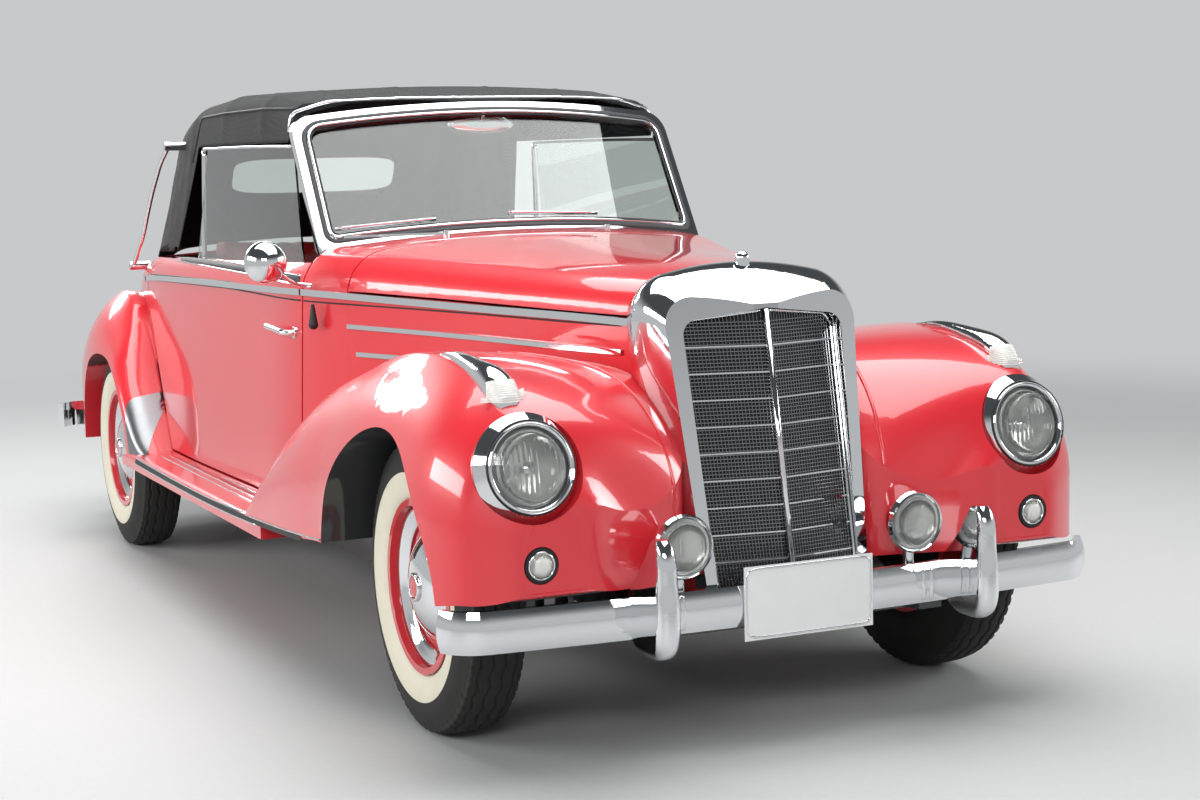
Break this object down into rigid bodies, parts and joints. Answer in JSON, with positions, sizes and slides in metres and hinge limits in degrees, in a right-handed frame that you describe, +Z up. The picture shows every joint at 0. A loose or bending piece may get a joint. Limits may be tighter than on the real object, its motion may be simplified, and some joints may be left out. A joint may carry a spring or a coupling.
{
  "type": "two-door convertible car",
  "caption": "Two-door convertible car with raised black soft top, upright chromed grille, round separate wings and whitewall tyres.",
  "frame": {"origin": "on the ground under the middle of the car, at the bottom centre of its box", "axes": "-Y towards the front of the car, +X to its left side, +Z up"},
  "size_m": [1.686, 4.5385, 1.5601],
  "materials": {
    "body_paint": "gloss",
    "wheel_paint": "gloss",
    "frame_paint": "satin",
    "floor_paint": "satin",
    "chrome": "polished",
    "grille_metal": "satin",
    "window_glass": "clear",
    "lamp_glass": "clear",
    "lamp_red": "gloss",
    "top_cloth": "matte",
    "plate_white": "satin",
    "black_rubber": "matte",
    "cast_metal": "rough",
    "pipe_steel": "satin",
    "seat_leather": "satin",
    "dash_wood": "gloss",
    "wheel_ivory": "gloss",
    "tyre_rubber": "matte"
  },
  "bodies": {
    "car": {"radiator_shell": "chrome", "grille": "grille_metal", "bonnet_sides": "body_paint", "body_shell": "body_paint", "front_wings": "body_paint", "rear_wings": "body_paint", "running_boards": "body_paint", "floor_pan": "floor_paint", "chassis_frame": "frame_paint", "windscreen_frame": "chrome", "windscreen_glass": "window_glass", "soft_top": "top_cloth", "rear_window": "window_glass", "front_bumper": "chrome", "rear_bumper": "chrome", "number_plates": "plate_white", "headlamp_bezels": "chrome", "fog_lamps": "chrome", "indicators": "black_rubber", "wing_lamps": "chrome", "tail_lamps": "lamp_red", "lamp_lenses": "lamp_glass", "front_suspension": "frame_paint", "rear_axle": "cast_metal", "engine_block": "cast_metal", "exhaust": "pipe_steel", "front_seats": "seat_leather", "rear_seat": "seat_leather", "dashboard": "dash_wood", "mouldings": "chrome", "landau_irons": "chrome", "wipers": "chrome", "wing_mirror": "chrome"},
    "door_left": {"door_left": "body_paint", "door_glass_left": "window_glass", "door_trim_left": "chrome"},
    "door_right": {"door_right": "body_paint", "door_glass_right": "window_glass", "door_trim_right": "chrome"},
    "bonnet": {"bonnet": "body_paint"},
    "boot_lid": {"boot_lid": "body_paint"},
    "steering_wheel": {"steering_wheel": "wheel_ivory"},
    "knuckle_left": {"knuckle_left": "cast_metal"},
    "knuckle_right": {"knuckle_right": "cast_metal"},
    "wheel_front_left": {"tyre_front_left": "tyre_rubber", "rim_front_left": "wheel_paint", "hubcap_front_left": "chrome"},
    "wheel_front_right": {"tyre_front_right": "tyre_rubber", "rim_front_right": "wheel_paint", "hubcap_front_right": "chrome"},
    "wheel_rear_left": {"tyre_rear_left": "tyre_rubber", "rim_rear_left": "wheel_paint", "hubcap_rear_left": "chrome"},
    "wheel_rear_right": {"tyre_rear_right": "tyre_rubber", "rim_rear_right": "wheel_paint", "hubcap_rear_right": "chrome"}
  },
  "joints": [
    {"name": "steer_left", "type": "hinge", "parent": "car", "child": "knuckle_left", "pos_m": [0.5825, -1.599, 0.345], "axis": [0, 0, 1], "range_deg": [-30, 30]},
    {"name": "steer_right", "type": "hinge", "parent": "car", "child": "knuckle_right", "pos_m": [-0.5825, -1.599, 0.345], "axis": [0, 0, 1], "range_deg": [-30, 30]},
    {"name": "steering_wheel_turn", "type": "hinge", "parent": "car", "child": "steering_wheel", "pos_m": [0.33, 0.001, 0.96], "axis": [0, 0.848, 0.5299], "range_deg": [-480, 480]},
    {"name": "door_left_open", "type": "hinge", "parent": "car", "child": "door_left", "pos_m": [0.728, 1.236, 0.9], "axis": [0, 0, 1], "range_deg": [0, 65]},
    {"name": "door_right_open", "type": "hinge", "parent": "car", "child": "door_right", "pos_m": [-0.728, 1.236, 0.9], "axis": [0, 0, -1], "range_deg": [0, 65]},
    {"name": "bonnet_open", "type": "hinge", "parent": "car", "child": "bonnet", "pos_m": [0, -0.739, 1.126], "axis": [-1, 0, 0], "range_deg": [0, 50]},
    {"name": "boot_open", "type": "hinge", "parent": "car", "child": "boot_lid", "pos_m": [0, 1.481, 1.02], "axis": [1, 0, 0], "range_deg": [0, 60]},
    {"name": "spin_front_left", "type": "hinge", "parent": "knuckle_left", "child": "wheel_front_left", "pos_m": [0.6575, -1.599, 0.345], "axis": [1, 0, 0], "continuous": true},
    {"name": "spin_rear_left", "type": "hinge", "parent": "car", "child": "wheel_rear_left", "pos_m": [0.7175, 1.246, 0.345], "axis": [1, 0, 0], "continuous": true},
    {"name": "spin_front_right", "type": "hinge", "parent": "knuckle_right", "child": "wheel_front_right", "pos_m": [-0.6575, -1.599, 0.345], "axis": [1, 0, 0], "continuous": true},
    {"name": "spin_rear_right", "type": "hinge", "parent": "car", "child": "wheel_rear_right", "pos_m": [-0.7175, 1.246, 0.345], "axis": [1, 0, 0], "continuous": true}
  ],
  "couplings": [
    {"joint": "steer_right", "follows": "steer_left", "ratio": 1},
    {"joint": "steering_wheel_turn", "follows": "steer_left", "ratio": 15}
  ]
}
